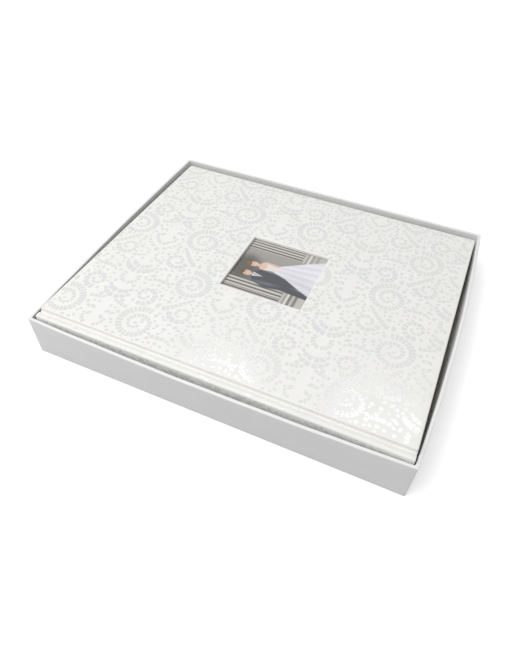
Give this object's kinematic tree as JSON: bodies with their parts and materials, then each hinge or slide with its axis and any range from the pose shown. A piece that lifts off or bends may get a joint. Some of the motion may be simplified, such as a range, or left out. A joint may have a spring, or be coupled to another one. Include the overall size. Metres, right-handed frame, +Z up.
{
  "type": "wedding photo album in presentation tray",
  "caption": "Book-bound wedding photo album with a square picture window, pearl-white scroll-patterned covers and card leaves, lying in an open rigid white presentation tray.",
  "frame": {"origin": "middle of the tray's flat underside", "axes": "+X along the spine, head of the album at -X; +Y from the spine to the fore edge; +Z up out of the tray"},
  "size_m": [0.3085, 0.2588, 0.0439],
  "materials": {
    "greyboard": "matt grey bookbinding board",
    "corner_tape": "matt kraft stay tape",
    "white_paper": "smooth satin white wrapping paper",
    "lining_paper": "matt off-white lining paper",
    "pearl_cover_paper": "pearl-white satin with a glossy scroll pattern",
    "binding_cloth": "woven binding cloth",
    "photo_print": "semi-gloss photographic print",
    "album_card": "uncoated cream album card"
  },
  "bodies": {
    "tray": {"tray_base_board": "greyboard", "tray_front_board": "greyboard", "tray_back_board": "greyboard", "tray_left_board": "greyboard", "tray_right_board": "greyboard", "tray_corner_tape_front_left": "corner_tape", "tray_corner_tape_front_right": "corner_tape", "tray_corner_tape_back_left": "corner_tape", "tray_corner_tape_back_right": "corner_tape", "tray_wrap": "white_paper", "tray_floor_liner": "white_paper", "tray_base_sheet": "white_paper"},
    "album": {"back_cover_board": "greyboard", "back_cover_skin": "pearl_cover_paper", "back_pastedown": "lining_paper", "spine_board": "greyboard", "spine_skin": "pearl_cover_paper", "front_joint_cloth": "pearl_cover_paper", "back_joint_cloth": "pearl_cover_paper", "spine_lining": "binding_cloth", "head_band": "binding_cloth", "tail_band": "binding_cloth", "leaf_guards": "lining_paper", "leaf_08": "album_card", "leaf_09": "album_card", "leaf_10": "album_card", "leaf_11": "album_card", "leaf_12": "album_card", "leaf_13": "album_card", "leaf_14": "album_card", "leaf_15": "album_card", "leaf_16": "album_card", "leaf_17": "album_card", "leaf_18": "album_card", "leaf_19": "album_card", "leaf_20": "album_card", "leaf_21": "album_card", "leaf_22": "album_card", "leaf_23": "album_card", "leaf_24": "album_card", "leaf_25": "album_card", "leaf_26": "album_card", "leaf_27": "album_card", "leaf_28": "album_card", "back_flyleaf": "album_card"},
    "front_cover": {"front_window_board": "greyboard", "front_backing_board": "greyboard", "window_print": "photo_print", "front_cover_skin": "pearl_cover_paper", "front_pastedown": "lining_paper"},
    "front_flyleaf_turning": {"front_flyleaf": "album_card"},
    "leaf_01_turning": {"leaf_01": "album_card"},
    "leaf_02_turning": {"leaf_02": "album_card"},
    "leaf_03_turning": {"leaf_03": "album_card"},
    "leaf_04_turning": {"leaf_04": "album_card"},
    "leaf_05_turning": {"leaf_05": "album_card"},
    "leaf_06_turning": {"leaf_06": "album_card"},
    "leaf_07_turning": {"leaf_07": "album_card"}
  },
  "joints": [
    {"name": "album_lift", "type": "slide", "parent": "tray", "child": "album", "axis": [0, 0, 1], "range_m": [0, 0.06]},
    {"name": "front_cover_turn", "type": "hinge", "parent": "album", "child": "front_cover", "pos_m": [0, -0.1197, 0.04312], "axis": [1, 0, 0], "range_deg": [0, 180], "deforming": ["front_joint_cloth"]},
    {"name": "front_flyleaf_turn", "type": "hinge", "parent": "album", "child": "front_flyleaf_turning", "pos_m": [0, -0.1124, 0.03796], "axis": [1, 0, 0], "range_deg": [0, 120]},
    {"name": "leaf_01_turn", "type": "hinge", "parent": "album", "child": "leaf_01_turning", "pos_m": [0, -0.1112, 0.03685], "axis": [1, 0, 0], "range_deg": [0, 105]},
    {"name": "leaf_02_turn", "type": "hinge", "parent": "album", "child": "leaf_02_turning", "pos_m": [0, -0.11, 0.03575], "axis": [1, 0, 0], "range_deg": [0, 90]},
    {"name": "leaf_03_turn", "type": "hinge", "parent": "album", "child": "leaf_03_turning", "pos_m": [0, -0.1088, 0.03465], "axis": [1, 0, 0], "range_deg": [0, 75]},
    {"name": "leaf_04_turn", "type": "hinge", "parent": "album", "child": "leaf_04_turning", "pos_m": [0, -0.1076, 0.03355], "axis": [1, 0, 0], "range_deg": [0, 60]},
    {"name": "leaf_05_turn", "type": "hinge", "parent": "album", "child": "leaf_05_turning", "pos_m": [0, -0.1064, 0.03246], "axis": [1, 0, 0], "range_deg": [0, 45]},
    {"name": "leaf_06_turn", "type": "hinge", "parent": "album", "child": "leaf_06_turning", "pos_m": [0, -0.1052, 0.03136], "axis": [1, 0, 0], "range_deg": [0, 30]},
    {"name": "leaf_07_turn", "type": "hinge", "parent": "album", "child": "leaf_07_turning", "pos_m": [0, -0.104, 0.03027], "axis": [1, 0, 0], "range_deg": [0, 15]}
  ],
  "couplings": [
    {"joint": "front_flyleaf_turn", "follows": "front_cover_turn", "ratio": 0.66667},
    {"joint": "leaf_01_turn", "follows": "front_cover_turn", "ratio": 0.58333},
    {"joint": "leaf_02_turn", "follows": "front_cover_turn", "ratio": 0.5},
    {"joint": "leaf_03_turn", "follows": "front_cover_turn", "ratio": 0.41667},
    {"joint": "leaf_04_turn", "follows": "front_cover_turn", "ratio": 0.33333},
    {"joint": "leaf_05_turn", "follows": "front_cover_turn", "ratio": 0.25},
    {"joint": "leaf_06_turn", "follows": "front_cover_turn", "ratio": 0.16667},
    {"joint": "leaf_07_turn", "follows": "front_cover_turn", "ratio": 0.083333}
  ]
}
